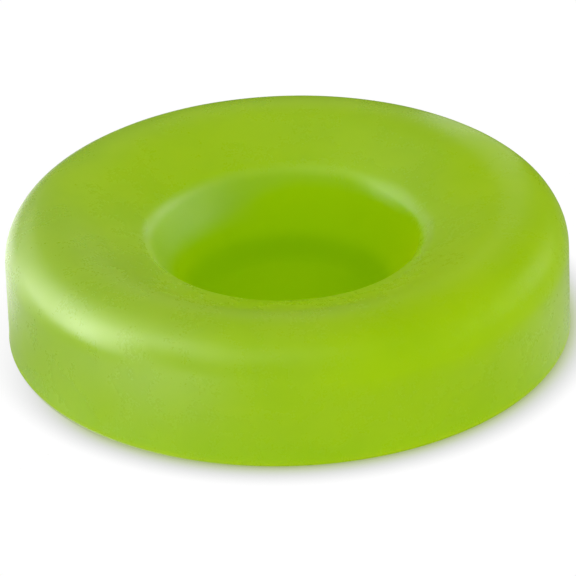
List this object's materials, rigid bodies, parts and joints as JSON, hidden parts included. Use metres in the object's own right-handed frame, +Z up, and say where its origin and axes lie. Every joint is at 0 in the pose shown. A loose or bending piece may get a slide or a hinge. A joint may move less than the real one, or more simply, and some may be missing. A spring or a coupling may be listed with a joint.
{
  "type": "racket vibration dampener",
  "caption": "Round soft puck with a dished top and a blind centre recess; sits in a racket's string bed and damps string vibration.",
  "frame": {"origin": "centre of the flat underside", "axes": "+Z up along the puck's axis of revolution, out of the recess; +X and +Y are arbitrary, because the puck is round"},
  "size_m": [0.024, 0.024, 0.0056],
  "materials": {
    "lime_elastomer": "satin, slightly translucent moulded elastomer"
  },
  "bodies": {
    "root": {"damper_puck": "lime_elastomer"}
  },
  "joints": []
}
